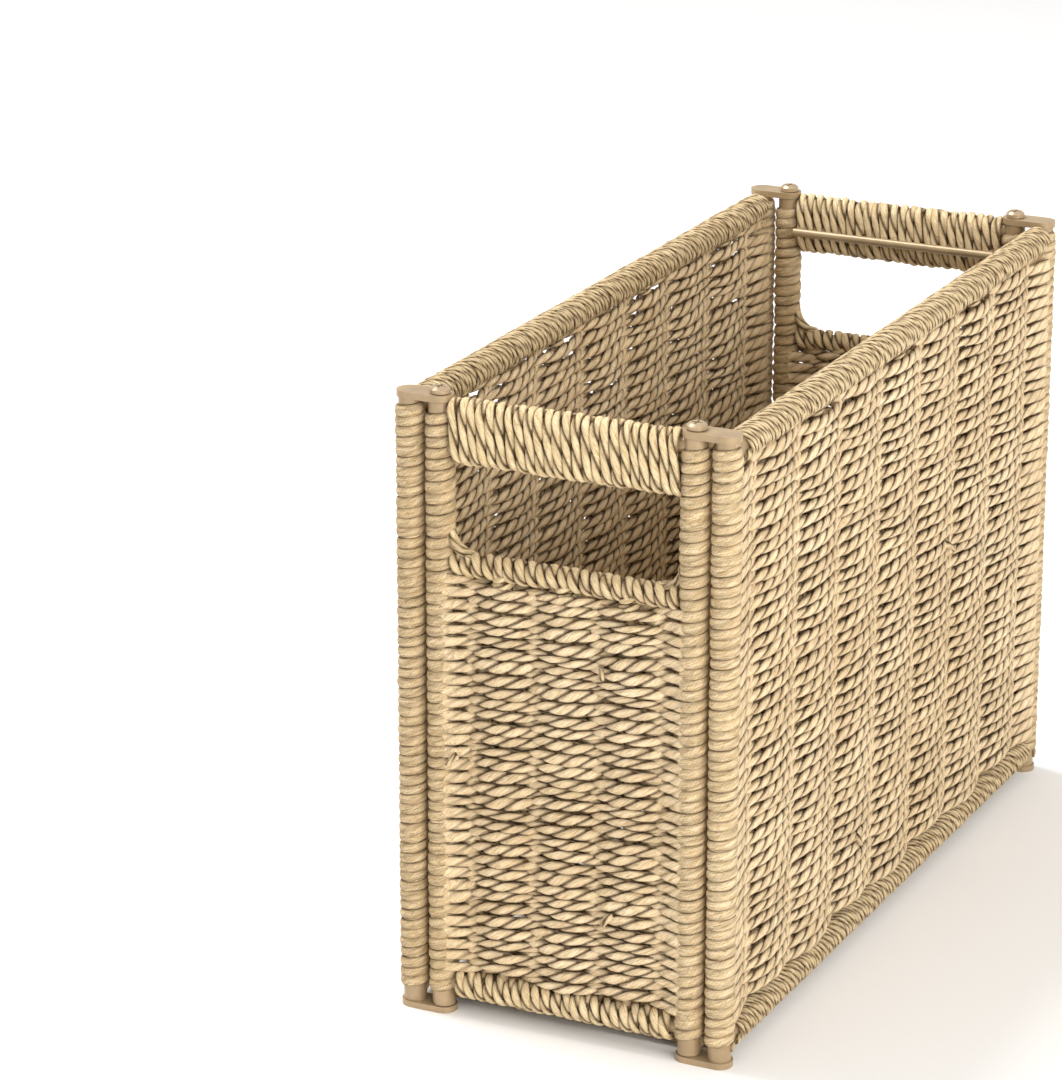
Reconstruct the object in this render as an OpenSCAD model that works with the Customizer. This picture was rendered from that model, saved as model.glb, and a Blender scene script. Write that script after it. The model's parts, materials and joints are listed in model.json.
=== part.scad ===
// Folding hanging file rack with woven cord panels.
// Origin: middle of the footprint, on the floor.
// X runs across the rack, Y along the files, Z up. Units are mm.

/* [Overall size] */
// Distance across between the pivot axes of an end panel
pivot_span_x = 104; // [90:1:150]
// Distance along the files between the pivot axes
pivot_span_y = 336; // [326:1:400]
// Height from the floor to the top face of the link plates
overall_h = 250; // [240:1:300]

/* [Corner links] */
// Distance from a side panel post to the pivot beside it
link_pitch = 12.5; // [12.5:0.5:20]
// Width of a link plate
link_w = 10.4; // [9.5:0.1:12]
// Thickness of a link plate
link_t = 2.5; // [1.5:0.5:3]
// Diameter of the pivot screws and pins
pivot_d = 4; // [3:0.5:5]
// Depth of a pivot screw or pin inside its post
pivot_depth = 12; // [8:1:20]
// Diameter of a screw head
screw_head_d = 7.8; // [7:0.1:9]
// Height of a screw head
screw_head_h = 2.4; // [1.6:0.1:3]

/* [Frame] */
// Outer diameter of the frame tube
tube_d = 9; // [8:0.5:9.5]
// Wall thickness of the frame tube
tube_wall = 1; // [0.8:0.1:1.5]
// Diameter of the handle bars and of the end bottom rails
bar_d = 6; // [4:0.5:7]
// Diameter of the rod under a hand hole
hole_rod_d = 4; // [3:0.5:6]
// Diameter of the upright stakes
stake_d = 3.6; // [2.5:0.1:4]
// Number of stakes in a side panel
side_stake_count = 7; // [5:1:9]
// Number of stakes in an end panel
end_stake_count = 3; // [2:1:4]

/* [Cord covering] */
// Outer diameter of the cord wound on a post
post_wrap_d = 11.6; // [11:0.1:12]
// Outer diameter of the cord wound on a side rim and side bottom rail
rim_wrap_d = 12.2; // [11:0.1:12.2]
// Thickness of a handle across its cord
handle_wrap_d = 12; // [10:0.1:12]
// Outer diameter of the cord wound on the rod under a hand hole
hole_wrap_d = 10; // [8:0.1:11]
// Outer diameter of the cord wound on an end bottom rail
end_wrap_d = 12; // [10:0.1:12]
// Thickness of the woven panels
weave_t = 9.4; // [8:0.1:11]
// Thickness of the base mat
mat_t = 3; // [2:0.2:4]

/* [Hand holes and file rails] */
// Distance between the two bars inside a handle
handle_bar_gap = 14; // [13:0.5:14]
// Height of the rod under a hand hole
hole_rod_z = 184.5; // [150:0.5:190]
// Diameter of a file rail
file_rail_d = 3.5; // [3:0.1:4]
// Distance from the pivot plane of an end panel to its file rail
file_rail_inset = 9.2; // [9:0.1:9.4]
// Distance from a pivot axis to the end of a file rail
file_rail_end = 8; // [8:0.5:20]

/* [Hidden] */
$fn = 96;
// running gap between parts that turn past each other
run_gap = 0.3;
// radial gap of cord on its bar and of a stake in the weave
cord_fit = 0.05;
// radial gap of a pivot in its plate and post
pivot_fit = 0.06;
// radial gap of the fourth pivot, where the linkage closes
closing_fit = 0.3;
// radial gap of a screw in its thread
thread_fit = 0.02;
// gap left where one bar is welded on another
weld_gap = 0.02;
tube_r = tube_d / 2;
bore_r = tube_r - tube_wall;
pivot_x = pivot_span_x / 2;
pivot_y = pivot_span_y / 2;
side_x = pivot_x + link_pitch;
post_wrap_r = post_wrap_d / 2;
rim_wrap_r = rim_wrap_d / 2;
handle_wrap_r = handle_wrap_d / 2;
side_post_z0 = link_t;
side_post_z1 = overall_h - link_t;
end_post_z0 = link_t + run_gap;
end_post_z1 = overall_h - link_t - run_gap;
rim_z = overall_h - link_t - tube_r - 0.2;
side_low_z = 10.5;
side_low_d = 8;
end_low_z = 12.5;
post_wrap_z0 = 9;
side_wrap_z1 = side_post_z1 - 4.5;
end_wrap_z1 = end_post_z1 - 5.8;
handle_z = overall_h - 0.4 - handle_wrap_r - handle_bar_gap / 2;
bar_high_z = handle_z + handle_bar_gap / 2;
bar_low_z = handle_z - handle_bar_gap / 2;
side_pitch = pivot_span_y / (side_stake_count + 1);
end_pitch = pivot_span_x / (end_stake_count + 1);
side_field = pivot_y - post_wrap_r - 0.2;
end_field = pivot_x - post_wrap_r - 0.2;
side_field_z0 = side_low_z + rim_wrap_r + 0.2;
side_field_z1 = rim_z - rim_wrap_r - 8;
end_field_z0 = end_low_z + end_wrap_d / 2 + 0.2;
end_field_z1 = hole_rod_z - hole_wrap_d / 2 - 0.2;
plug_depth = pivot_depth + 2;
file_rail_z = bar_low_z + (bar_d + file_rail_d) / 2;
rail_leg_d = file_rail_d - 0.3;
rail_leg_in = 2;
mat_z0 = 1;
mat_gap = 1;
steel = [0.72, 0.63, 0.48];
cord = [0.87, 0.77, 0.58];

// Sub-part to draw, or "all"

// ---- shared shapes ----

// round bar along X, centred on x = 0
module bar_x(len, d) {
    rotate([0, 90, 0])
        cylinder(h = len, d = d, center = true);
}

// round bar along Y, centred on y = 0
module bar_y(len, d) {
    rotate([90, 0, 0])
        cylinder(h = len, d = d, center = true);
}

// ---- side panels: sx is -1 for the left one and 1 for the right one ----

module side_rim_bar(sx, d, len) {
    translate([sx * side_x, 0, rim_z])
        bar_y(len, d);
}

module side_low_bar(sx, d, len) {
    translate([sx * side_x, 0, side_low_z])
        bar_y(len, d);
}

module side_post_bar(sx, sy, d) {
    translate([sx * side_x, sy * pivot_y, side_post_z0])
        cylinder(h = side_post_z1 - side_post_z0, d = d);
}

module side_stake_bars(sx, d) {
    for (i = [1 : side_stake_count])
        translate([sx * side_x, -pivot_y + i * side_pitch, side_low_z])
            cylinder(h = rim_z - side_low_z, d = d);
}

// open tube from link plate to link plate
module side_post(sx, sy) {
    difference() {
        side_post_bar(sx, sy, tube_d);
        translate([sx * side_x, sy * pivot_y, -1])
            cylinder(h = overall_h + 2, r = bore_r);
    }
}

// top tube of a side panel, butted between its posts
module side_rim_tube(sx) {
    difference() {
        side_rim_bar(sx, tube_d, pivot_span_y);
        side_rim_bar(sx, 2 * bore_r, pivot_span_y + 2);
        side_post_bar(sx, -1, tube_d + 2 * weld_gap);
        side_post_bar(sx, 1, tube_d + 2 * weld_gap);
    }
}

// bottom bar of a side panel, butted between its posts
module side_bottom_rail(sx) {
    difference() {
        side_low_bar(sx, side_low_d, pivot_span_y);
        side_post_bar(sx, -1, tube_d + 2 * weld_gap);
        side_post_bar(sx, 1, tube_d + 2 * weld_gap);
    }
}

// upright stakes between the bottom bar and the top tube
module side_stakes(sx) {
    difference() {
        side_stake_bars(sx, stake_d);
        side_rim_bar(sx, tube_d + 2 * weld_gap, pivot_span_y);
        side_low_bar(sx, side_low_d + 2 * weld_gap, pivot_span_y);
    }
}

// woven cord field around the stakes
module side_weave(sx) {
    difference() {
        translate([sx * side_x - weave_t / 2, -side_field, side_field_z0])
            cube([weave_t, 2 * side_field, side_field_z1 - side_field_z0]);
        side_stake_bars(sx, stake_d + 2 * cord_fit);
    }
}

// cord wound on the top tube
module side_rim_wrap(sx) {
    difference() {
        side_rim_bar(sx, rim_wrap_d, 2 * side_field);
        side_rim_bar(sx, tube_d + 2 * cord_fit, pivot_span_y);
        side_stake_bars(sx, stake_d + 2 * cord_fit);
    }
}

// cord wound on the bottom bar
module side_bottom_wrap(sx) {
    difference() {
        side_low_bar(sx, rim_wrap_d, 2 * side_field);
        side_low_bar(sx, side_low_d + 2 * cord_fit, pivot_span_y);
        side_stake_bars(sx, stake_d + 2 * cord_fit);
    }
}

// cord wound on a side panel post
module side_post_wrap(sx, sy) {
    difference() {
        translate([sx * side_x, sy * pivot_y, post_wrap_z0])
            cylinder(h = side_wrap_z1 - post_wrap_z0, r = post_wrap_r);
        side_post_bar(sx, sy, tube_d + 2 * cord_fit);
        side_rim_bar(sx, tube_d + 2 * cord_fit, pivot_span_y);
        side_low_bar(sx, side_low_d + 2 * cord_fit, pivot_span_y);
    }
}

// flat plate with round ends, from a side post to the pivot beside it
module link_plate(sx, sy, z0) {
    translate([sx * side_x, sy * pivot_y, z0])
        cylinder(h = link_t, d = link_w);
    translate([sx * pivot_x, sy * pivot_y, z0])
        cylinder(h = link_t, d = link_w);
    translate([sx * (pivot_x + link_pitch / 2), sy * pivot_y, z0 + link_t / 2])
        cube([link_pitch, link_w, link_t], center = true);
}

// upper plate, with the hole that a pivot screw turns in
module top_link(sx, sy, fit) {
    difference() {
        link_plate(sx, sy, overall_h - link_t);
        translate([sx * pivot_x, sy * pivot_y, overall_h - link_t - 1])
            cylinder(h = link_t + 2, r = pivot_d / 2 + fit);
    }
}

// lower plate, with the pin that a post turns on
module bottom_link(sx, sy, pin_cut) {
    link_plate(sx, sy, 0);
    translate([sx * pivot_x, sy * pivot_y, link_t / 2])
        cylinder(h = link_t / 2 + pivot_depth, r = pivot_d / 2 - pin_cut);
}

// ---- end panels: sy is -1 for the front one and 1 for the rear one ----

module end_bar(sy, z, d, len) {
    translate([0, sy * pivot_y, z])
        bar_x(len, d);
}

module end_post_bar(sx, sy, d) {
    translate([sx * pivot_x, sy * pivot_y, end_post_z0])
        cylinder(h = end_post_z1 - end_post_z0, d = d);
}

module end_stake_bars(sy, d) {
    for (i = [1 : end_stake_count])
        translate([-pivot_x + i * end_pitch, sy * pivot_y, end_low_z])
            cylinder(h = hole_rod_z - end_low_z, d = d);
}

// tube with a plugged end at the bottom for the pin and at the top for the screw
module end_post(sx, sy) {
    difference() {
        end_post_bar(sx, sy, tube_d);
        translate([sx * pivot_x, sy * pivot_y, end_post_z0 + plug_depth])
            cylinder(h = end_post_z1 - end_post_z0 - 2 * plug_depth, r = bore_r);
        translate([sx * pivot_x, sy * pivot_y, 0])
            cylinder(h = end_post_z0 + plug_depth + 1, r = pivot_d / 2 + pivot_fit);
        translate([sx * pivot_x, sy * pivot_y, end_post_z1 - plug_depth - 1])
            cylinder(h = plug_depth + 2, r = pivot_d / 2 + thread_fit);
    }
}

// bar of an end panel, butted between its posts
module end_rail(sy, z, d) {
    difference() {
        end_bar(sy, z, d, pivot_span_x);
        end_post_bar(-1, sy, tube_d + 2 * weld_gap);
        end_post_bar(1, sy, tube_d + 2 * weld_gap);
    }
}

// upright stakes under a hand hole
module end_stakes(sy) {
    difference() {
        end_stake_bars(sy, stake_d);
        end_bar(sy, hole_rod_z, hole_rod_d + 2 * weld_gap, pivot_span_x);
        end_bar(sy, end_low_z, bar_d + 2 * weld_gap, pivot_span_x);
    }
}

// woven cord field under a hand hole
module end_weave(sy) {
    difference() {
        translate([-end_field, sy * pivot_y - weave_t / 2, end_field_z0])
            cube([2 * end_field, weave_t, end_field_z1 - end_field_z0]);
        end_stake_bars(sy, stake_d + 2 * cord_fit);
    }
}

// bar with round top and bottom edges
module handle_block(sy, r, len) {
    end_bar(sy, bar_high_z, 2 * r, len);
    end_bar(sy, bar_low_z, 2 * r, len);
    translate([0, sy * pivot_y, handle_z])
        cube([len, 2 * r, handle_bar_gap], center = true);
}

// cord wound on both handle bars together
module handle_wrap(sy) {
    difference() {
        handle_block(sy, handle_wrap_r, 2 * end_field);
        handle_block(sy, bar_d / 2 + cord_fit, pivot_span_x);
        file_rail_legs(sy, rail_leg_d + 2 * cord_fit);
    }
}

// cord wound on the rod under a hand hole or on a bottom rail
module rail_wrap(sy, z, d, inner_d) {
    difference() {
        end_bar(sy, z, d, 2 * end_field);
        end_bar(sy, z, inner_d + 2 * cord_fit, pivot_span_x);
        end_stake_bars(sy, stake_d + 2 * cord_fit);
    }
}

// cord wound on an end panel post
module end_post_wrap(sx, sy) {
    difference() {
        translate([sx * pivot_x, sy * pivot_y, post_wrap_z0])
            cylinder(h = end_wrap_z1 - post_wrap_z0, r = post_wrap_r);
        end_post_bar(sx, sy, tube_d + 2 * cord_fit);
        end_bar(sy, bar_high_z, bar_d + 2 * cord_fit, pivot_span_x);
        end_bar(sy, bar_low_z, bar_d + 2 * cord_fit, pivot_span_x);
        end_bar(sy, hole_rod_z, hole_rod_d + 2 * cord_fit, pivot_span_x);
        end_bar(sy, end_low_z, bar_d + 2 * cord_fit, pivot_span_x);
    }
}

// legs from the top of the lower handle bar in to the file rail
module file_rail_legs(sy, d) {
    leg_len = file_rail_inset + rail_leg_in;
    for (sx = [-1, 1])
        translate([sx * (pivot_x - file_rail_end), sy * (pivot_y - leg_len / 2 + rail_leg_in), file_rail_z])
            bar_y(leg_len, d);
}

// wire that the file hooks hang on, welded on the lower handle bar
module file_rail(sy) {
    difference() {
        union() {
            translate([0, sy * (pivot_y - file_rail_inset), file_rail_z])
                bar_x(2 * (pivot_x - file_rail_end) + file_rail_d, file_rail_d);
            file_rail_legs(sy, rail_leg_d);
        }
        end_bar(sy, bar_low_z, bar_d + 2 * weld_gap, pivot_span_x);
    }
}

// pan-head screw with a cross recess, its head just above a link plate
module pivot_screw(sx, sy) {
    head_z = overall_h + run_gap;
    translate([sx * pivot_x, sy * pivot_y, head_z])
        difference() {
            union() {
                cylinder(h = screw_head_h * 0.6, d = screw_head_d);
                translate([0, 0, screw_head_h * 0.6])
                    cylinder(h = screw_head_h * 0.4, d1 = screw_head_d, d2 = screw_head_d * 0.72);
                translate([0, 0, -link_t - 2 * run_gap - pivot_depth])
                    cylinder(h = link_t + 2 * run_gap + pivot_depth + 0.5, d = pivot_d);
            }
            translate([0, 0, screw_head_h])
                cube([4.4, 0.9, 2.6], center = true);
            translate([0, 0, screw_head_h])
                cube([0.9, 4.4, 2.6], center = true);
        }
}

// ---- named sub-parts: left side panel ----

module left_front_post() color(steel) side_post(-1, -1);
module left_rear_post() color(steel) side_post(-1, 1);
module left_rim_tube() color(steel) side_rim_tube(-1);
module left_bottom_rail() color(steel) side_bottom_rail(-1);
module left_stakes() color(steel) side_stakes(-1);
module left_weave() color(cord) side_weave(-1);
module left_rim_wrap() color(cord) side_rim_wrap(-1);
module left_bottom_wrap() color(cord) side_bottom_wrap(-1);
module left_front_post_wrap() color(cord) side_post_wrap(-1, -1);
module left_rear_post_wrap() color(cord) side_post_wrap(-1, 1);
module left_front_top_link() color(steel) top_link(-1, -1, pivot_fit);
module left_front_bottom_link() color(steel) bottom_link(-1, -1, 0);
module left_rear_top_link() color(steel) top_link(-1, 1, pivot_fit);
module left_rear_bottom_link() color(steel) bottom_link(-1, 1, 0);

// ---- named sub-parts: right side panel ----

module right_front_post() color(steel) side_post(1, -1);
module right_rear_post() color(steel) side_post(1, 1);
module right_rim_tube() color(steel) side_rim_tube(1);
module right_bottom_rail() color(steel) side_bottom_rail(1);
module right_stakes() color(steel) side_stakes(1);
module right_weave() color(cord) side_weave(1);
module right_rim_wrap() color(cord) side_rim_wrap(1);
module right_bottom_wrap() color(cord) side_bottom_wrap(1);
module right_front_post_wrap() color(cord) side_post_wrap(1, -1);
module right_rear_post_wrap() color(cord) side_post_wrap(1, 1);
module right_front_top_link() color(steel) top_link(1, -1, pivot_fit);
module right_front_bottom_link() color(steel) bottom_link(1, -1, 0);
module right_rear_top_link() color(steel) top_link(1, 1, closing_fit);
module right_rear_bottom_link() color(steel) bottom_link(1, 1, closing_fit - pivot_fit);

// ---- named sub-parts: front end panel ----

module front_left_post() color(steel) end_post(-1, -1);
module front_right_post() color(steel) end_post(1, -1);
module front_upper_bar() color(steel) end_rail(-1, bar_high_z, bar_d);
module front_lower_bar() color(steel) end_rail(-1, bar_low_z, bar_d);
module front_hole_rod() color(steel) end_rail(-1, hole_rod_z, hole_rod_d);
module front_bottom_rail() color(steel) end_rail(-1, end_low_z, bar_d);
module front_stakes() color(steel) end_stakes(-1);
module front_weave() color(cord) end_weave(-1);
module front_handle_wrap() color(cord) handle_wrap(-1);
module front_hole_wrap() color(cord) rail_wrap(-1, hole_rod_z, hole_wrap_d, hole_rod_d);
module front_bottom_wrap() color(cord) rail_wrap(-1, end_low_z, end_wrap_d, bar_d);
module front_left_post_wrap() color(cord) end_post_wrap(-1, -1);
module front_right_post_wrap() color(cord) end_post_wrap(1, -1);
module front_file_rail() color(steel) file_rail(-1);

module front_screws() color(steel) {
    pivot_screw(-1, -1);
    pivot_screw(1, -1);
}

// ---- named sub-parts: rear end panel ----

module rear_left_post() color(steel) end_post(-1, 1);
module rear_right_post() color(steel) end_post(1, 1);
module rear_upper_bar() color(steel) end_rail(1, bar_high_z, bar_d);
module rear_lower_bar() color(steel) end_rail(1, bar_low_z, bar_d);
module rear_hole_rod() color(steel) end_rail(1, hole_rod_z, hole_rod_d);
module rear_bottom_rail() color(steel) end_rail(1, end_low_z, bar_d);
module rear_stakes() color(steel) end_stakes(1);
module rear_weave() color(cord) end_weave(1);
module rear_handle_wrap() color(cord) handle_wrap(1);
module rear_hole_wrap() color(cord) rail_wrap(1, hole_rod_z, hole_wrap_d, hole_rod_d);
module rear_bottom_wrap() color(cord) rail_wrap(1, end_low_z, end_wrap_d, bar_d);
module rear_left_post_wrap() color(cord) end_post_wrap(-1, 1);
module rear_right_post_wrap() color(cord) end_post_wrap(1, 1);
module rear_file_rail() color(steel) file_rail(1);

module rear_screws() color(steel) {
    pivot_screw(-1, 1);
    pivot_screw(1, 1);
}

// ---- base ----

// soft woven mat, laced along the left bottom rail
module base_mat() color(cord) {
    mat_x0 = -side_x + rim_wrap_r + cord_fit;
    mat_x1 = side_x - rim_wrap_r - mat_gap;
    mat_y = pivot_y - post_wrap_r - mat_gap - 0.5;
    translate([mat_x0, -mat_y, mat_z0])
        cube([mat_x1 - mat_x0, 2 * mat_y, mat_t]);
}

left_front_post();
left_rear_post();
left_rim_tube();
left_bottom_rail();
left_stakes();
left_weave();
left_rim_wrap();
left_bottom_wrap();
left_front_post_wrap();
left_rear_post_wrap();
left_front_top_link();
left_front_bottom_link();
left_rear_top_link();
left_rear_bottom_link();
right_front_post();
right_rear_post();
right_rim_tube();
right_bottom_rail();
right_stakes();
right_weave();
right_rim_wrap();
right_bottom_wrap();
right_front_post_wrap();
right_rear_post_wrap();
right_front_top_link();
right_front_bottom_link();
right_rear_top_link();
right_rear_bottom_link();
front_left_post();
front_right_post();
front_upper_bar();
front_lower_bar();
front_hole_rod();
front_bottom_rail();
front_stakes();
front_weave();
front_handle_wrap();
front_hole_wrap();
front_bottom_wrap();
front_left_post_wrap();
front_right_post_wrap();
front_file_rail();
front_screws();
rear_left_post();
rear_right_post();
rear_upper_bar();
rear_lower_bar();
rear_hole_rod();
rear_bottom_rail();
rear_stakes();
rear_weave();
rear_handle_wrap();
rear_hole_wrap();
rear_bottom_wrap();
rear_left_post_wrap();
rear_right_post_wrap();
rear_file_rail();
rear_screws();
base_mat();
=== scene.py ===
"""Looks of a folding hanging file rack: twisted paper cord woven and wound over a painted tube frame."""

import json
import math

import bpy
import numpy as np
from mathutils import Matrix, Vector


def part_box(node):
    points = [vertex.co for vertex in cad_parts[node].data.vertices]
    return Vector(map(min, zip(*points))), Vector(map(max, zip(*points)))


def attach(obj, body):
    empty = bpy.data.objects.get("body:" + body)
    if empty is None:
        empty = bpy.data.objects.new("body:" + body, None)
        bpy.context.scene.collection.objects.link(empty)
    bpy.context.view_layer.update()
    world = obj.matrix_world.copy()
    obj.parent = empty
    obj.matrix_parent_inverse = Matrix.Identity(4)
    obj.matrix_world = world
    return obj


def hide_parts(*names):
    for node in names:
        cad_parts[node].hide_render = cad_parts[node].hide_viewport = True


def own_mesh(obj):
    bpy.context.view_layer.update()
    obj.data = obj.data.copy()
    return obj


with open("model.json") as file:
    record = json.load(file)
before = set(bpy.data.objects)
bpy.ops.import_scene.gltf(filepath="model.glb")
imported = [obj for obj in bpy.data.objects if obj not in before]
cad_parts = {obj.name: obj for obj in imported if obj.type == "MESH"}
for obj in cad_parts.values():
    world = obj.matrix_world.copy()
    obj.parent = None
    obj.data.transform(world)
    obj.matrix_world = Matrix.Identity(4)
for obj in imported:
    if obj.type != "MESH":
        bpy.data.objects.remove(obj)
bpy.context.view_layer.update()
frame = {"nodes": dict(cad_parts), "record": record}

MM = 0.001
RNG = np.random.default_rng(20)

# ---------------------------------------------------------------- sizes in millimetres
STAKE_R = 1.8  # radius of an upright wire in a panel
SIDE_STAKE_PITCH = 42.0  # distance between the uprights of a long side
END_STAKE_PITCH = 26.0  # distance between the uprights of an end
SIDE_RUN_PITCH = 2.6  # height from one run of rope to the next on a long side
END_RUN_PITCH = 2.45  # the same on an end
ROPE_LAY = -17.0  # length of one full twist of the two-ply rope; below zero, the plies lean to the left
RING_STEP = 1.5  # distance between the rings of points along a rope
POST_TURN_R = 4.5  # middle line of a rope that turns back round a post, under the post's own winding
POST_TURN_DEEP = 0.5  # half thickness of the rope there, pressed flat
CORD_LAY = -14.0  # length of one full twist of the thin winding cord
BAND_LAY = -55.0  # the same for the flattened cord round a post
HANDLE_LAY = -24.0  # the same for the rope round a handle
SIDE_POST_PITCH = 4.0  # height from one turn to the next on a long side's post
END_POST_PITCH = 4.4  # the same on an end's post
TUCK_HEIGHT = 229.5  # runs above this are drawn in on a long side, clear of the folded file rails


# ---------------------------------------------------------------- ropes as meshes
def section(plies, points_per_ply, dip):
    """Section of a twisted rope.

    Gives the angle of each point, the depth of a crease, and how far each point is into a crease.
    """
    steps = np.arange(plies * points_per_ply)
    across_ply = (steps % points_per_ply) / points_per_ply
    groove = (1 - np.sin(math.pi * across_ply)) ** 2
    return 2 * math.pi * steps / len(steps), dip, groove


TWO_PLY = section(2, 5, 0.42)
THREE_FOLD = section(3, 3, 0.2)


def unit(rows):
    return rows / np.maximum(np.linalg.norm(rows, axis=1, keepdims=True), 1e-12)


def wander(count, wave, size):
    """A smooth random line of the given wavelength, in points, and half height."""
    knots = RNG.uniform(-1, 1, int(count / wave) + 4)
    at = np.arange(count) / wave + 1
    low = at.astype(int)
    part = at - low
    part = part * part * (3 - 2 * part)
    return size * (knots[low] * (1 - part) + knots[low + 1] * part)


def rope(points, outward, wide, deep, shape=TWO_PLY, lay=ROPE_LAY, start=0.0, plain=0.0, key=None):
    """Sweeps a twisted section along points (mm).

    Deep is the half size along outward, and wide the other half size. Plain says how far the plies are
    pressed flat, from 0, not at all, to 1, along the whole rope or at each point.
    """
    angle, dip, groove = shape
    pressed = 1 - np.broadcast_to(plain, len(points))[:, None]
    radius = 1 - dip * pressed * groove
    tangent = unit(np.gradient(points, axis=0))
    side = unit(np.cross(tangent, outward))
    out = np.cross(side, tangent)
    steps = np.linalg.norm(np.diff(points, axis=0), axis=1)
    along = np.concatenate([[0.0], np.cumsum(steps)])
    lump = 1 + wander(len(points), 6, 0.09)
    loose = wander(len(points), 9, 0.35) + wander(len(points), 30, 1.6)
    turned = angle[None, :] + start + (2 * math.pi / lay) * along[:, None] + loose[:, None]
    x = np.cos(turned) * radius * (deep * lump)[:, None]
    y = np.sin(turned) * radius * (wide * lump)[:, None]
    verts = points[:, None, :] + x[..., None] * out[:, None, :] + y[..., None] * side[:, None, :]
    grid = np.ones_like(x)
    shade = RNG.uniform() if key is None else key[:, None]
    strand = np.stack([along[:, None] * MM * grid, np.cos(angle) * grid, np.sin(angle) * grid], axis=-1)
    return {
        "verts": verts * MM,
        "strand": strand,
        # Crease marks where shade is painted: the grooves between the plies (less where they are pressed
        # flat) and the rope's upper and lower flanks, where it lies against its neighbours.
        "crease": np.maximum(groove * (0.2 + 0.8 * pressed), 0.9 * np.abs(np.sin(turned)) ** 7),
        "key": shade * grid,
    }


def rope_object(name, ropes, material, body, slot, *nodes):
    """Joins ropes into one mesh object that rides on a body and stands for the named CAD nodes."""
    verts, loops, starts, totals = [], [], [], []
    strand, crease, key = [], [], []
    base = 0
    loop_base = 0
    for r in ropes:
        rings, around = r["verts"].shape[:2]
        verts.append(r["verts"].reshape(-1, 3))
        strand.append(r["strand"].reshape(-1, 3))
        crease.append(r["crease"].reshape(-1))
        key.append(r["key"].reshape(-1))
        ring = np.arange(rings - 1)[:, None] * around
        here = np.arange(around)[None, :]
        after = (here + 1) % around
        quads = np.stack([ring + here, ring + after, ring + around + after, ring + around + here], axis=-1)
        quads = quads.reshape(-1, 4) + base
        loops.append(quads.reshape(-1))
        starts.append(loop_base + 4 * np.arange(len(quads)))
        totals.append(np.full(len(quads), 4))
        loop_base += 4 * len(quads)
        first = base + np.arange(around)[::-1]
        last = base + (rings - 1) * around + np.arange(around)
        loops.extend([first, last])
        starts.append(np.array([loop_base, loop_base + around]))
        totals.append(np.array([around, around]))
        loop_base += 2 * around
        base += rings * around
    mesh = bpy.data.meshes.new(name)
    flat = np.concatenate(verts).astype(np.float32)
    mesh.vertices.add(len(flat))
    mesh.vertices.foreach_set("co", flat.ravel())
    corner = np.concatenate(loops).astype(np.int32)
    mesh.loops.add(len(corner))
    mesh.loops.foreach_set("vertex_index", corner)
    start = np.concatenate(starts).astype(np.int32)
    mesh.polygons.add(len(start))
    mesh.polygons.foreach_set("loop_start", start)
    mesh.polygons.foreach_set("loop_total", np.concatenate(totals).astype(np.int32))
    mesh.update(calc_edges=True)
    mesh.attributes.new("strand", "FLOAT_VECTOR", "POINT").data.foreach_set(
        "vector", np.concatenate(strand).astype(np.float32).ravel()
    )
    # The crease attribute tells the cord material where to paint shade.
    mesh.attributes.new("crease", "FLOAT", "POINT").data.foreach_set(
        "value", np.concatenate(crease).astype(np.float32)
    )
    mesh.attributes.new("strand_key", "FLOAT", "POINT").data.foreach_set(
        "value", np.concatenate(key).astype(np.float32)
    )
    mesh.polygons.foreach_set("use_smooth", np.ones(len(start), bool))
    mesh.materials.append(material)
    made = bpy.data.objects.new(name, mesh)
    bpy.context.scene.collection.objects.link(made)
    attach(made, body)
    if nodes:
        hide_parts(*nodes)
    return made


# ---------------------------------------------------------------- materials
def add(tree, kind, inputs=None, **fields):
    """Adds a shader node. Inputs gives each socket a value, or the output of another node."""
    made = tree.nodes.new("ShaderNode" + kind)
    for field, value in fields.items():
        setattr(made, field, value)
    for socket, value in (inputs or {}).items():
        if isinstance(value, bpy.types.NodeSocket):
            tree.links.new(value, made.inputs[socket])
        else:
            made.inputs[socket].default_value = value
    return made


def sums(tree, operation, *values):
    return add(tree, "Math", dict(enumerate(values)), operation=operation).outputs[0]


def ramp(tree, factor, *stops):
    made = add(tree, "ValToRGB", {"Fac": factor})
    elements = made.color_ramp.elements
    while len(elements) < len(stops):
        elements.new(0.5)
    for element, (place, colour) in zip(elements, stops):
        element.position = place
        element.color = (*colour, 1.0)
    return made.outputs["Color"]


def mixed(tree, factor, first, second, blend="MIX"):
    """Blends two colours; each is a socket or three numbers."""
    made = add(tree, "Mix", data_type="RGBA", blend_type=blend)
    for socket, value in ((made.inputs[0], factor), (made.inputs[6], first), (made.inputs[7], second)):
        if isinstance(value, bpy.types.NodeSocket):
            tree.links.new(value, socket)
        elif isinstance(value, tuple):
            socket.default_value = (*value, 1.0)
        else:
            socket.default_value = value
    return made.outputs[2]


def blank(name):
    made = bpy.data.materials.new(name)
    made.use_nodes = True
    return made, made.node_tree, made.node_tree.nodes["Principled BSDF"]


# Gap is the colour of the painted shade in the creases between the plies and between ropes.
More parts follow.
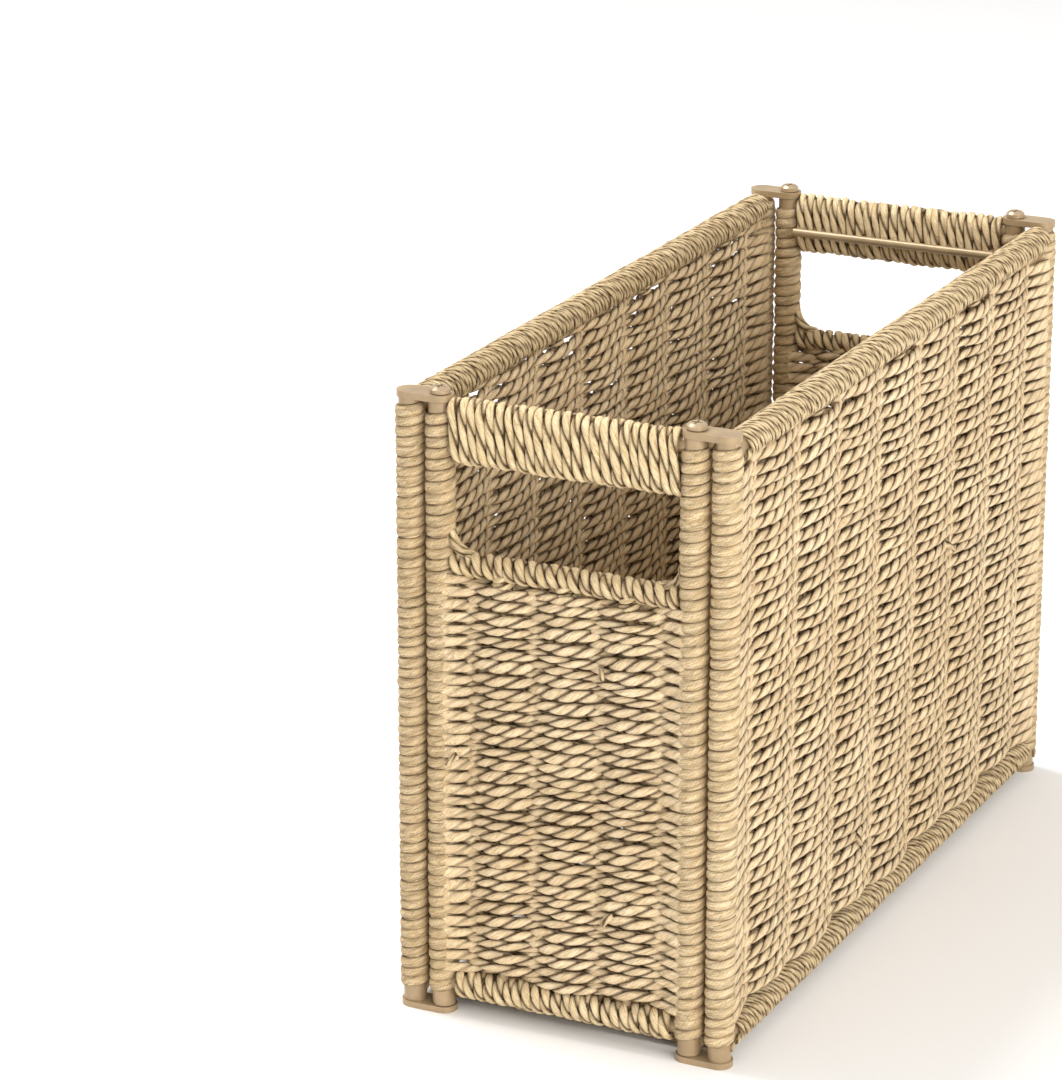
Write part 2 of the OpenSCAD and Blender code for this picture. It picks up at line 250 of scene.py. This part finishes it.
def paper_cord(name, light, body, shade, gap, folds):
    """Twisted kraft paper: fibres, slanting folds and wrinkle lines, with painted shade in the dents of the
    folds and wrinkles and in the creases between the plies and between ropes.
    """
    material, tree, shader = blank(name)
    strand = add(tree, "Attribute", attribute_name="strand")
    crease = add(tree, "Attribute", attribute_name="crease").outputs["Fac"]
    key = add(tree, "Attribute", attribute_name="strand_key").outputs["Fac"]
    place = add(tree, "TexCoord").outputs["Object"]
    parts = add(tree, "SeparateXYZ", {0: strand.outputs["Vector"]}).outputs
    shifted = sums(tree, "MULTIPLY_ADD", key, 31.0, sums(tree, "MULTIPLY", parts[0], 260.0))
    fibre_at = add(
        tree,
        "CombineXYZ",
        {0: shifted, 1: sums(tree, "MULTIPLY", parts[1], 4.5), 2: sums(tree, "MULTIPLY", parts[2], 4.5)},
    ).outputs[0]
    fibre = add(tree, "TexNoise", {"Vector": fibre_at, "Scale": 1.0, "Detail": 5.0, "Roughness": 0.7})
    fibre = fibre.outputs["Fac"]
    patch = add(tree, "TexNoise", {"Vector": place, "Scale": 70.0, "Detail": 3.0}).outputs["Fac"]
    broad = add(tree, "TexNoise", {"Vector": place, "Scale": 11.0, "Detail": 2.0}).outputs["Fac"]
    angle = sums(tree, "ARCTAN2", parts[2], parts[1])
    spiral = sums(tree, "MULTIPLY_ADD", angle, folds, sums(tree, "MULTIPLY", parts[0], 2100.0))
    spiral = sums(tree, "MULTIPLY_ADD", patch, 9.0, spiral)
    fold = sums(tree, "POWER", sums(tree, "ABSOLUTE", sums(tree, "SINE", spiral)), 0.55)
    colour = ramp(tree, fibre, (0.32, shade), (0.47, body), (0.63, light))
    # Painted shade in the dents of the slanting folds, where the bump also sinks.
    colour = mixed(tree, sums(tree, "MULTIPLY", sums(tree, "SUBTRACT", 1.0, fold), 0.3), colour, shade)
    tint = ramp(tree, broad, (0.3, (0.94, 0.91, 0.86)), (0.7, (1.05, 1.05, 1.06)))
    colour = mixed(tree, 1.0, colour, tint, "MULTIPLY")
    lift = ramp(tree, key, (0.0, (0.9, 0.88, 0.85)), (1.0, (1.06, 1.06, 1.05)))
    colour = mixed(tree, 1.0, colour, lift, "MULTIPLY")
    line_at = add(
        tree,
        "CombineXYZ",
        {
            0: sums(tree, "MULTIPLY_ADD", key, 17.0, sums(tree, "MULTIPLY", parts[0], 140.0)),
            1: sums(tree, "MULTIPLY", parts[1], 3.2),
            2: sums(tree, "MULTIPLY", parts[2], 3.2),
        },
    ).outputs[0]
    line = add(tree, "TexNoise", {"Vector": line_at, "Scale": 1.0, "Detail": 1.0}).outputs["Fac"]
    line = sums(tree, "ABSOLUTE", sums(tree, "SUBTRACT", line, 0.5))
    line = ramp(tree, line, (0.0, (1.0, 1.0, 1.0)), (0.035, (0.0, 0.0, 0.0)))
    # Painted shade along the wrinkle lines, which the bump also sinks.
    colour = mixed(tree, sums(tree, "MULTIPLY", line, 0.55), colour, shade)
    # Painted shade: the creases between the plies and the flanks where ropes touch are darkened toward the
    # gap colour.
    painted_crease_shade = sums(tree, "POWER", crease, 1.3)
    colour = mixed(tree, sums(tree, "MULTIPLY", painted_crease_shade, 0.95), colour, gap)
    height = sums(tree, "MULTIPLY_ADD", fold, 0.4, sums(tree, "MULTIPLY", fibre, 1.3))
    height = sums(tree, "SUBTRACT", height, sums(tree, "MULTIPLY", line, 0.7))
    bump = add(tree, "Bump", {"Strength": 0.8, "Distance": 0.0006, "Height": height})
    tree.links.new(colour, shader.inputs["Base Color"])
    tree.links.new(bump.outputs[0], shader.inputs["Normal"])
    tree.links.new(sums(tree, "MULTIPLY_ADD", fibre, 0.3, 0.5), shader.inputs["Roughness"])
    # The creases also lose their specular reflection, as part of the same painted shade.
    tree.links.new(sums(tree, "MULTIPLY_ADD", painted_crease_shade, -0.28, 0.28), shader.inputs["Specular IOR Level"])
    return material


def satin_paint(name, colour, worn, roughness):
    """Khaki paint with a fine orange-peel skin, cloudy tone, and rubbed spots."""
    material, tree, shader = blank(name)
    place = add(tree, "TexCoord").outputs["Object"]
    cloud = add(tree, "TexNoise", {"Vector": place, "Scale": 130.0, "Detail": 4.0}).outputs["Fac"]
    grain = add(tree, "TexNoise", {"Vector": place, "Scale": 1900.0, "Detail": 2.0}).outputs["Fac"]
    spots = add(tree, "TexNoise", {"Vector": place, "Scale": 420.0, "Detail": 5.0, "Roughness": 0.7})
    dark = tuple(0.82 * c for c in colour)
    tone = ramp(tree, cloud, (0.35, dark), (0.65, colour))
    rubbed = ramp(tree, spots.outputs["Fac"], (0.62, (0.0, 0.0, 0.0)), (0.7, (1.0, 1.0, 1.0)))
    tree.links.new(mixed(tree, sums(tree, "MULTIPLY", rubbed, 0.5), tone, worn), shader.inputs["Base Color"])
    rough = sums(tree, "MULTIPLY_ADD", cloud, 0.2, roughness - 0.1)
    tree.links.new(rough, shader.inputs["Roughness"])
    bump = add(tree, "Bump", {"Strength": 0.25, "Distance": 0.0001, "Height": grain})
    tree.links.new(bump.outputs[0], shader.inputs["Normal"])
    shader.inputs["Metallic"].default_value = 0.25
    return material


# The fourth colour of each cord is the painted shade in its creases.
woven = paper_cord(
    "woven_cord", (1.0, 0.86, 0.62), (0.93, 0.735, 0.47), (0.58, 0.365, 0.15), (0.04, 0.011, 0.001), 3.0
)
wound = paper_cord(
    "wound_cord", (0.97, 0.84, 0.59), (0.88, 0.7, 0.43), (0.56, 0.36, 0.14), (0.055, 0.018, 0.002), 3.0
)
banding = paper_cord(
    "post_cord", (0.85, 0.72, 0.5), (0.76, 0.59, 0.36), (0.5, 0.31, 0.12), (0.055, 0.018, 0.002), 3.0
)
matting = paper_cord(
    "mat_cord", (0.76, 0.61, 0.39), (0.66, 0.5, 0.29), (0.4, 0.26, 0.12), (0.1, 0.055, 0.02), 3.0
)
paint = satin_paint("frame_paint", (0.42, 0.3, 0.17), (0.56, 0.45, 0.3), 0.36)
screw_paint = satin_paint("screw", (0.46, 0.34, 0.21), (0.6, 0.5, 0.36), 0.3)
wire_paint = satin_paint("rail_wire", (0.38, 0.28, 0.16), (0.5, 0.4, 0.26), 0.34)


# ---------------------------------------------------------------- where the CAD pieces are
def span(node):
    """Lowest corner, highest corner and middle of a CAD node, in millimetres."""
    low, high = (np.array(corner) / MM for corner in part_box(node))
    return low, high, (low + high) / 2


def smooth(t):
    t = np.clip(t, 0, 1)
    return t * t * (3 - 2 * t)


# ---------------------------------------------------------------- weaving
def blur(values, reach):
    """Evens out steps in a row of values, over a few points each way."""
    padded = np.concatenate([np.full(reach, values[0]), values, np.full(reach, values[-1])])
    return np.convolve(padded, np.ones(2 * reach + 1) / (2 * reach + 1), mode="valid")


def weave(centre, along, facing, reach, pitch, run_pitch, low, high, bow, pieces, tuck=1000.0):
    """One rope that runs to and fro between two posts, in front of every other upright.

    It turns round each post. Centre is a point on the panel's middle line, along and facing are its unit
    directions, and reach is the distance from the middle to a post. Above the height tuck, the inner side of
    the runs is drawn in near the posts, so that a file rail can fold against it. Returns the rope cut into
    pieces, from the lowest to the highest.
    """
    along, facing, up = np.array(along), np.array(facing), np.array((0.0, 0.0, 1.0))
    count = int((high - low) / run_pitch)
    rise = (high - low) / count
    stake_out = STAKE_R + 1.75
    turn = np.linspace(0, math.pi, 11)[1:]
    drifts = [(RNG.uniform(45, 110), RNG.uniform(18, 50), RNG.uniform(0, 6)) for k in range(5)]
    runs = []
    for n in range(count):
        level = low + (n + 0.5) * rise
        face = 1 if n % 2 == 0 else -1
        u = face * np.linspace(-reach, reach, int(2 * reach / RING_STEP))
        phase = math.pi * (u + reach) / pitch
        at_stake = np.cos(phase) ** 2
        near_post = smooth((np.abs(u) - reach + 0.62 * pitch) / (0.55 * pitch))
        swing = stake_out + (POST_TURN_R - stake_out) * near_post
        spread = RNG.uniform(0.9, 1.1)
        wide = spread * run_pitch * ((0.78 + 0.25 * at_stake) * (1 - near_post) + 1.0 * near_post)
        deep = (2.0 - 0.3 * at_stake) * (1 - near_post) + POST_TURN_DEEP * near_post
        free = 1 - 0.7 * near_post
        z = level + free * (wander(len(u), 22, 0.45) + wander(len(u), 9, 0.2)) + bow(u, n / (count - 1))
        fade = smooth((level - low) / 12) * smooth((high - level) / 12) * (1 - 0.6 * near_post)
        stretch = 1.0
        for long_wave, tall_wave, phase_shift in drifts:
            place = 2 * math.pi * (u / long_wave + level / tall_wave) + phase_shift
            z = z + 0.3 * fade * np.sin(place)
            stretch = stretch + 0.3 * fade * 2 * math.pi / tall_wave * np.cos(place)
        wide = wide * stretch
        out = face * np.cos(phase) * swing
        if level > tuck:
            gap = reach - np.abs(u)
            room = 0.4 + np.where(gap < 6.0, 0.8 * (6.0 - gap), 0.06 * (gap - 6.0))
            out = np.maximum(out, -room)
            deep = np.where(out == -room, np.minimum(deep, 0.85 + 0.02 * gap), deep)
            wide = 1.12 * wide
        ends = np.full(len(turn), 1.0)
        outward = np.zeros((len(u) + len(turn), 3)) + face * facing
        outward[len(u) :] = face * (np.cos(turn)[:, None] * facing + np.sin(turn)[:, None] * along)
        runs.append(
            {
                "u": np.concatenate([u, face * (reach + POST_TURN_R * np.sin(turn))]),
                "out": np.concatenate([out, face * POST_TURN_R * np.cos(turn)]),
                "z": np.concatenate([z, z[-1] + (level + rise - z[-1]) * smooth(turn / math.pi)]),
                "wide": np.concatenate([wide, spread * 0.98 * run_pitch * ends]),
                "deep": np.concatenate([deep, POST_TURN_DEEP * ends]),
                "plain": np.concatenate([0.85 * near_post, 0.85 * ends]),
                "outward": outward,
            }
        )
    cut = []
    for k in range(pieces):
        part = runs[count * k // pieces : count * (k + 1) // pieces]
        row = {name: np.concatenate([run[name] for run in part]) for name in part[0]}
        u, out, z = row["u"], row["out"], blur(row["z"], 4)
        points = centre + u[:, None] * along + out[:, None] * facing + z[:, None] * up
        keys = np.repeat([RNG.uniform() for run in part], [len(run["u"]) for run in part])
        wide, plain = blur(row["wide"], 4), blur(row["plain"], 2)
        cut.append(rope(points, row["outward"], wide, row["deep"], plain=plain, key=blur(keys, 6)))
    return cut


def cut_end(foot, facing, along):
    """A short end of the rope that sticks out of the weave where a new length begins."""
    facing, along = np.array(facing, float), np.array(along, float)
    t = np.linspace(0, 1, 9)[:, None]
    droop = 3.0 * t**2 * np.array((0.0, 0.0, 1.0))
    points = np.array(foot) + (3.6 + 3.6 * t) * facing + 2.4 * t * along - droop
    outward = np.zeros_like(points) + along
    return rope(points, outward, np.linspace(1.7, 1.2, 9), np.linspace(1.5, 1.0, 9), start=RNG.uniform(0, 6))


def corner_cord(post_x, post_y, rail_top):
    """Two turns of rope that round off a lower corner of a hand hole, between the post and the rail."""
    inward = -math.copysign(1.0, post_x)
    round_r, line_r = 7.0, 8.2
    centre = np.array((post_x + inward * round_r, rail_top + round_r))
    turn = np.linspace(0, -math.pi / 2, 14)
    away = np.stack([-inward * np.cos(turn), np.zeros(14), np.sin(turn)], axis=1)
    arc = line_r * away
    into_post = arc[0] + np.array((-2.5 * inward, 0.0, 3.0))
    into_rail = arc[-1] + np.array((3.0 * inward, 0.0, -2.5))
    line = np.vstack([into_post, arc, into_rail])
    outward = -np.vstack([away[:1], away, away[-1:]])
    size = np.ones(len(line))
    ropes = []
    for offset in (-1.3, 1.3):
        points = np.array((centre[0], post_y + offset, centre[1])) + line
        ropes.append(rope(points, outward, 1.8 * size, 1.5 * size, start=RNG.uniform(0, 6)))
    return ropes


def circle(radius, points):
    turn = 2 * math.pi * np.arange(points) / points
    normal = np.stack([np.cos(turn), np.sin(turn)], axis=1)
    return radius * normal, normal


def stadium(radius, half_gap, points):
    """Outline round two bars, one above the other, in steps of even length."""
    straight = 2 * half_gap
    bend = math.pi * radius
    total = 2 * (straight + bend)
    outline, normals = [], []
    for s in total * np.arange(points) / points:
        if s < straight:
            outline.append((radius, -half_gap + s))
            normals.append((1.0, 0.0))
        elif s < straight + bend:
            turn = (s - straight) / radius
            outline.append((radius * math.cos(turn), half_gap + radius * math.sin(turn)))
            normals.append((math.cos(turn), math.sin(turn)))
        elif s < 2 * straight + bend:
            outline.append((-radius, half_gap - (s - straight - bend)))
            normals.append((-1.0, 0.0))
        else:
            turn = math.pi + (s - 2 * straight - bend) / radius
            outline.append((radius * math.cos(turn), -half_gap + radius * math.sin(turn)))
            normals.append((math.cos(turn), math.sin(turn)))
    return np.array(outline), np.array(normals)


def wind(start, axis, across, length, pitch, outline, wide, deep, loose=0.12, **twist):
    """Winds a cord round a bar from start along axis. Outline is one turn, in the plane across the bar."""
    axis, across = np.array(axis, float), np.array(across, float)
    third = np.cross(axis, across)
    shape, normals = outline
    turns = max(1, round(length / pitch))
    steps = np.arange(turns * len(shape) + 1)
    at = steps % len(shape)
    slack = wander(len(steps), len(shape) * 1.3, loose * pitch)
    swell = 1 + wander(len(steps), len(shape) * 0.9, 0.03)
    travel = length * steps / steps[-1] + slack
    flat = shape[at] * swell[:, None]
    points = np.array(start) + travel[:, None] * axis + flat[:, :1] * across + flat[:, 1:] * third
    outward = normals[at][:, :1] * across + normals[at][:, 1:] * third
    grow = 1 + wander(len(steps), len(shape) * 0.7, 0.06)
    return rope(points, outward, wide * grow, deep * grow, **twist)


Z_AXIS = (0.0, 0.0, 1.0)
THIN = {"shape": THREE_FOLD, "lay": CORD_LAY}
BAND = {"shape": THREE_FOLD, "lay": BAND_LAY, "plain": 0.75}


def level_bow(u, share):
    """The highest runs of a long side rise a little between the uprights."""
    edge = smooth((share - 0.965) / 0.035)
    return edge * 1.0 * np.sin(math.pi * u / SIDE_STAKE_PITCH) ** 2


def end_bow(u, share):
    """On an end, the runs climb a little from each post, and sag under the hand hole's middle at the top."""
    shape = 1 - smooth((np.abs(u) - 20.0) / 32.0)
    lift = 1.7 * (1 - share) * smooth(share / 0.1) - 1.4 * smooth((share - 0.85) / 0.15)
    return lift * (shape - 0.5)


def post_cord(name, body, node, pitch):
    """Winding of a post from foot to top, over the ropes of the weave that turn back round it."""
    low, high, middle = span(node)
    radius = (high[0] - low[0]) / 2 - 0.85
    start = (middle[0], middle[1], low[2] - 0.9)
    length = high[2] - low[2] + 1.5
    outline = circle(radius, 16)
    winding = wind(start, Z_AXIS, (1, 0, 0), length, pitch, outline, 0.53 * pitch, 0.9, 0.09, **BAND)
    rope_object(name, [winding], banding, body, "wound_cord", node)


def long_side(side, sign):
    """All the cord of a long side: three weave pieces, rim, bottom rail and both posts."""
    body = side + "_side"
    rim_low, rim_high, rim = span(side + "_rim_wrap")
    rail_low, rail_high, rail = span(side + "_bottom_wrap")
    post = span(side + "_rear_post")[2]
    low, high = rail_high[2] + 0.6, rim_low[2] - 1.0
    centre = np.array((rim[0], 0.0, 0.0))
    sizes = (post[1], SIDE_STAKE_PITCH, SIDE_RUN_PITCH, low, high)
    parts = weave(centre, (0, 1, 0), (sign, 0, 0), *sizes, level_bow, 3, TUCK_HEIGHT)
    for share, part in zip(("lower", "middle", "upper"), parts):
        ropes = [part]
        if share == "middle":
            ropes.append(cut_end((rim[0], 0.3 * post[1], 0.6 * high), (sign, 0, 0), (0, 1, 0)))
        if share == "lower":
            ropes.append(cut_end((rim[0], -0.25 * post[1], 0.2 * high), (sign, 0, 0), (0, -1, 0)))
        rope_object(side + "_weave_" + share, ropes, woven, body, "woven_cord", side + "_weave")

    length = rim_high[1] - rim_low[1]
    start = (rim[0], rim_low[1] + 1.2, rim[2])
    radius = (rim_high[0] - rim_low[0]) / 2 - 0.85
    outline = circle(radius, 18)
    ropes = [wind(start, (0, 1, 0), (1, 0, 0), length - 2.4, 2.8, outline, 1.55, 0.95, 0.35, **THIN)]
    stake_low = high - 3.0
    for k in range(-3, 4):
        foot = (rim[0], k * SIDE_STAKE_PITCH, stake_low)
        turns = circle(STAKE_R + 0.75, 12)
        height = rim_low[2] - stake_low + 1.0
        ropes.append(wind(foot, Z_AXIS, (1, 0, 0), height, 2.0, turns, 1.15, 0.8, **THIN))
    rope_object(side + "_rim_cord", ropes, wound, body, "wound_cord", side + "_rim_wrap")

    length = rail_high[1] - rail_low[1]
    start = (rail[0], rail_low[1] + 1.5, rail[2])
    radius = (rail_high[0] - rail_low[0]) / 2 - 1.0
    outline = circle(radius, 16)
    ropes = [wind(start, (0, 1, 0), (1, 0, 0), length - 3.0, 3.1, outline, 1.7, 1.05, 0.2, **THIN)]
    rope_object(side + "_bottom_cord", ropes, wound, body, "wound_cord", side + "_bottom_wrap")

    for place in ("front", "rear"):
        node = side + "_" + place + "_post_wrap"
        post_cord(side + "_" + place + "_post_cord", body, node, SIDE_POST_PITCH)


def end_panel(end, sign):
    """All the cord of an end: handle, hand hole rail, weave, bottom rail and both posts."""
    body = end + "_end"
    post = span(end + "_right_post")[2]
    hole_low, hole_high, hole = span(end + "_hole_wrap")
    rail_low, rail_high, rail = span(end + "_bottom_wrap")
    low, high = rail_high[2] + 0.4, hole_low[2] + 0.2
    centre = np.array((0.0, post[1], 0.0))
    sizes = (post[0], END_STAKE_PITCH, END_RUN_PITCH, low, high)
    parts = weave(centre, (1, 0, 0), (0, sign, 0), *sizes, end_bow, 1)
    for across, share, lean in ((0.3, 0.85, 1), (0.4, 0.3, -1), (-0.85, 0.6, -1)):
        foot = (across * post[0], post[1], share * high)
        parts.append(cut_end(foot, (0, sign, 0), (lean, 0, 0)))
    rope_object(end + "_weave_rope", parts, woven, body, "woven_cord", end + "_weave")

    grip_low, grip_high, grip = span(end + "_handle_wrap")
    radius = (grip_high[1] - grip_low[1]) / 2 - 1.45
    half_gap = (grip_high[2] - grip_low[2]) / 2 - radius - 1.45
    start = (grip_low[0] - 0.7, grip[1], grip[2])
    outline = stadium(radius, half_gap, 34)
    length = grip_high[0] - grip_low[0] + 1.4
    ropes = [wind(start, (1, 0, 0), (0, 1, 0), length, 3.85, outline, 2.1, 1.5, lay=HANDLE_LAY)]
    rope_object(end + "_handle_rope", ropes, wound, body, "wound_cord", end + "_handle_wrap")

    start = (hole_low[0] - 0.8, hole[1], hole[2])
    radius = (hole_high[1] - hole_low[1]) / 2 - 1.4
    length = hole_high[0] - hole_low[0] + 1.6
    ropes = [wind(start, (1, 0, 0), (0, 1, 0), length, 4.4, circle(radius, 14), 2.3, 1.45, 0.12)]
    for k in (-1, 0, 1):
        foot = (k * END_STAKE_PITCH, hole[1], hole_low[2] - 3.5)
        turns = circle(STAKE_R + 1.6, 12)
        ropes.append(wind(foot, Z_AXIS, (1, 0, 0), 6.0, 3.2, turns, 1.6, 1.1))
    for place in ("left", "right"):
        post_low, post_high, post_middle = span(end + "_" + place + "_post_wrap")
        inner = post_high[0] if place == "left" else post_low[0]
        ropes.extend(corner_cord(inner, post_middle[1], hole_high[2]))
    rope_object(end + "_hole_rope", ropes, wound, body, "wound_cord", end + "_hole_wrap")

    start = (rail_low[0] + 0.6, rail[1], rail[2])
    radius = (rail_high[1] - rail_low[1]) / 2 - 1.5
    length = rail_high[0] - rail_low[0] - 1.2
    ropes = [wind(start, (1, 0, 0), (0, 1, 0), length, 4.2, circle(radius, 18), 2.2, 1.55, 0.12)]
    rope_object(end + "_bottom_rope", ropes, wound, body, "wound_cord", end + "_bottom_wrap")

    for place in ("left", "right"):
        node = end + "_" + place + "_post_wrap"
        post_cord(end + "_" + place + "_post_cord", body, node, END_POST_PITCH)


def base_mat():
    """Soft mat woven from thin rope, which rides on the left side as the rack folds."""
    low, high, middle = span("base_mat")
    width, length = high[0] - low[0], high[1] - low[1]
    thick = high[2] - low[2]
    ropes = []
    runs = round(width / 4.6)
    rib_pitch = 20.0
    y = np.linspace(low[1] + 1.5, high[1] - 1.5, int(length / 2.6))
    for n in range(runs):
        x = low[0] + 2.2 + (width - 4.4) * n / (runs - 1)
        face = 1 if n % 2 == 0 else -1
        swing = face * np.cos(math.pi * (y - low[1]) / rib_pitch)
        points = np.stack([x + wander(len(y), 12, 0.25), y, middle[2] + 0.45 * swing], axis=1)
        outward = np.zeros_like(points) + np.array(Z_AXIS)
        size = np.ones(len(y))
        ropes.append(rope(points, outward, 2.9 * size, (thick / 2 - 0.5) * size, start=RNG.uniform(0, 6)))
    ribs = int(length / rib_pitch)
    for k in range(ribs + 1):
        place = low[1] + 0.5 * (length - ribs * rib_pitch) + k * rib_pitch
        place = min(max(place, low[1] + 1.0), high[1] - 1.0)
        x = np.linspace(low[0] + 0.5, high[0] - 0.5, 60)
        points = np.stack([x, np.full(60, place), np.full(60, middle[2])], axis=1)
        outward = np.zeros_like(points) + np.array(Z_AXIS)
        size = np.ones(60)
        ropes.append(rope(points, outward, 0.9 * size, 0.7 * size, start=RNG.uniform(0, 6)))
    made = rope_object("woven_base_mat", ropes, matting, "left_side", "mat_cord", "base_mat")
    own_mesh(made)


# ---------------------------------------------------------------- studio
def camera():
    """Camera at the photograph's angle, 25.8 degrees round from the front and 18.8 degrees up."""
    azimuth, elevation = math.radians(25.807), math.radians(18.793)
    data = bpy.data.cameras.new("camera")
    data.sensor_width = 36.0
    data.lens = 147.71
    data.clip_start = 0.05
    data.clip_end = 50.0
    made = bpy.data.objects.new("camera", data)
    made.location = (0.66328, -1.56975, 0.72767)
    made.rotation_euler = (math.pi / 2 - elevation, 0.0, azimuth)
    bpy.context.scene.collection.objects.link(made)
    bpy.context.scene.camera = made


def softbox(name, place, target, size, watts, colour):
    data = bpy.data.lights.new(name, "AREA")
    data.shape = "RECTANGLE"
    data.size, data.size_y = size
    data.energy = watts
    data.color = colour
    made = bpy.data.objects.new(name, data)
    made.location = place
    made.rotation_euler = (Vector(target) - Vector(place)).to_track_quat("-Z", "Y").to_euler()
    bpy.context.scene.collection.objects.link(made)


def studio():
    """White floor, even room light and two large soft lights."""
    mesh = bpy.data.meshes.new("floor")
    half = 8.0
    corners = [(-half, -half, 0), (half, -half, 0), (half, half, 0), (-half, half, 0)]
    mesh.from_pydata(corners, [], [(0, 1, 2, 3)])
    floor = bpy.data.objects.new("floor", mesh)
    bpy.context.scene.collection.objects.link(floor)
    material, tree, shader = blank("floor")
    place = add(tree, "TexCoord").outputs["Object"]
    cloud = add(tree, "TexNoise", {"Vector": place, "Scale": 3.0}).outputs["Fac"]
    tone = ramp(tree, cloud, (0.0, (0.9, 0.9, 0.9)), (1.0, (0.94, 0.94, 0.94)))
    tree.links.new(tone, shader.inputs["Base Color"])
    shader.inputs["Roughness"].default_value = 0.9
    shader.inputs["Specular IOR Level"].default_value = 0.1
    mesh.materials.append(material)

    world = bpy.data.worlds.new("room")
    world.use_nodes = True
    world.node_tree.nodes["Background"].inputs["Color"].default_value = (1.0, 0.99, 0.97, 1.0)
    world.node_tree.nodes["Background"].inputs["Strength"].default_value = 0.66
    bpy.context.scene.world = world
    softbox("side", (1.9, -1.3, 1.1), (0, 0, 0.12), (1.8, 1.8), 54.0, (1.0, 0.98, 0.95))
    softbox("top", (-0.9, 0.1, 1.8), (0, 0, 0.1), (0.9, 0.9), 38.0, (1.0, 0.99, 0.98))
    bpy.context.scene.view_settings.view_transform = "Standard"


def finish_cad_nodes():
    """Gives the CAD nodes that stay in view their paint."""
    finishes = {"frame_paint": paint, "screw": screw_paint, "rail_wire": wire_paint}
    for part in frame["record"]["subparts"]:
        node = frame["nodes"][part["node"]]
        finish = finishes.get(part["material_slot"])
        if finish:
            node.data.materials.clear()
            node.data.materials.append(finish)


camera()
studio()
finish_cad_nodes()
long_side("left", -1.0)
long_side("right", 1.0)
end_panel("front", -1.0)
end_panel("rear", 1.0)
base_mat()
